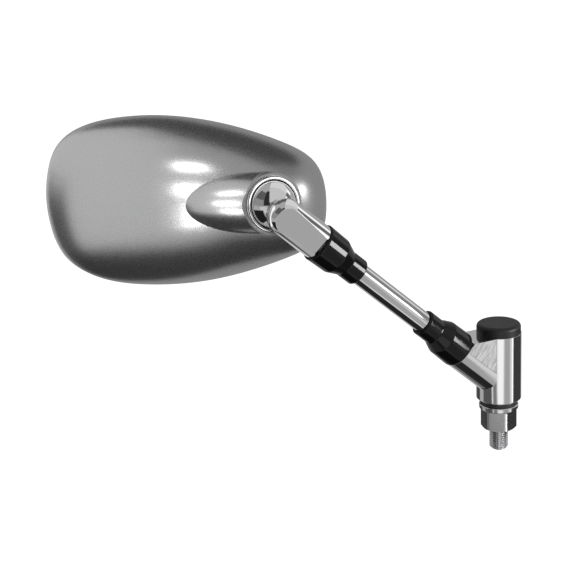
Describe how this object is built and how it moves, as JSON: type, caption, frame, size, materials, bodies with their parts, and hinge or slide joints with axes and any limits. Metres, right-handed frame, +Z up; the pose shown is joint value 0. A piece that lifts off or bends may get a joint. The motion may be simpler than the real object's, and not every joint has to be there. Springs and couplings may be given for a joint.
{
  "type": "motorcycle mirror",
  "caption": "Motorcycle mirror: egg-shaped satin silver head on a ball joint, chrome stem with black collars, and a base that swivels on a threaded stud.",
  "frame": {"origin": "on the axis of the mounting stud, at the lower face of its hex, where the hex seats on the handlebar perch", "axes": "+Z up along the stud axis, away from the thread; the arm lies in the XZ plane and leaves towards -X; the ball socket opens towards -Y and the glass faces +Y, turned 26 degrees towards +X"},
  "size_m": [0.224, 0.1083, 0.1909],
  "materials": {
    "chrome": "polished chrome plate",
    "bright_steel": "bright zinc plate",
    "satin_silver": "satin metallic silver coat on moulded plastic",
    "black_gloss": "polished black moulding",
    "cap_rubber": "matt black rubber",
    "nylon": "dark moulded nylon",
    "bush_bronze": "plain sintered bronze",
    "holder_black": "black moulded plastic",
    "foam": "black foam with adhesive",
    "glass": "silvered convex glass"
  },
  "bodies": {
    "stud": {"mount_stud": "bright_steel", "flange_washer": "bright_steel", "friction_washer": "nylon", "top_washer": "bright_steel", "swivel_springs": "bright_steel", "pivot_nut": "bright_steel"},
    "base": {"base_casting": "chrome", "lower_bush": "bush_bronze", "upper_bush": "bush_bronze", "rubber_cap": "cap_rubber", "lower_collar": "black_gloss"},
    "stem": {"stem_tube": "chrome", "lower_lock_nut": "bright_steel", "upper_lock_nut": "bright_steel"},
    "neck": {"neck": "chrome", "upper_collar": "black_gloss"},
    "liner": {"socket_liner": "nylon"},
    "ring": {"socket_ring": "chrome"},
    "head": {"head_shell": "satin_silver", "follower_cup": "nylon", "cup_spring": "bright_steel", "pressure_plate": "bright_steel", "plate_screws": "bright_steel", "glass_holder": "holder_black", "glass_pad": "foam", "mirror_glass": "glass"}
  },
  "joints": [
    {"name": "base_swivel", "type": "hinge", "parent": "stud", "child": "base", "pos_m": [0, 0, 0], "axis": [0, 0, 1], "continuous": true},
    {"name": "stem_turn", "type": "hinge", "parent": "base", "child": "stem", "pos_m": [0, 0, 0.0263], "axis": [-0.742, 0, 0.6704], "range_deg": [-180, 180]},
    {"name": "neck_turn", "type": "hinge", "parent": "stem", "child": "neck", "pos_m": [-0.11924, 0, 0.13404], "axis": [-0.742, 0, 0.6704], "range_deg": [-180, 180]},
    {"name": "head_pan", "type": "hinge", "parent": "neck", "child": "liner", "pos_m": [-0.11934, 0.0171, 0.13734], "axis": [0, 0, 1], "range_deg": [-6, 12]},
    {"name": "head_tilt", "type": "hinge", "parent": "liner", "child": "ring", "pos_m": [-0.11934, 0.0171, 0.13734], "axis": [0.8988, -0.4384, 0], "range_deg": [-6, 12]},
    {"name": "head_roll", "type": "hinge", "parent": "ring", "child": "head", "pos_m": [-0.11934, 0.0171, 0.13734], "axis": [0, -0.9945, 0.1045], "range_deg": [-20, 20]}
  ]
}
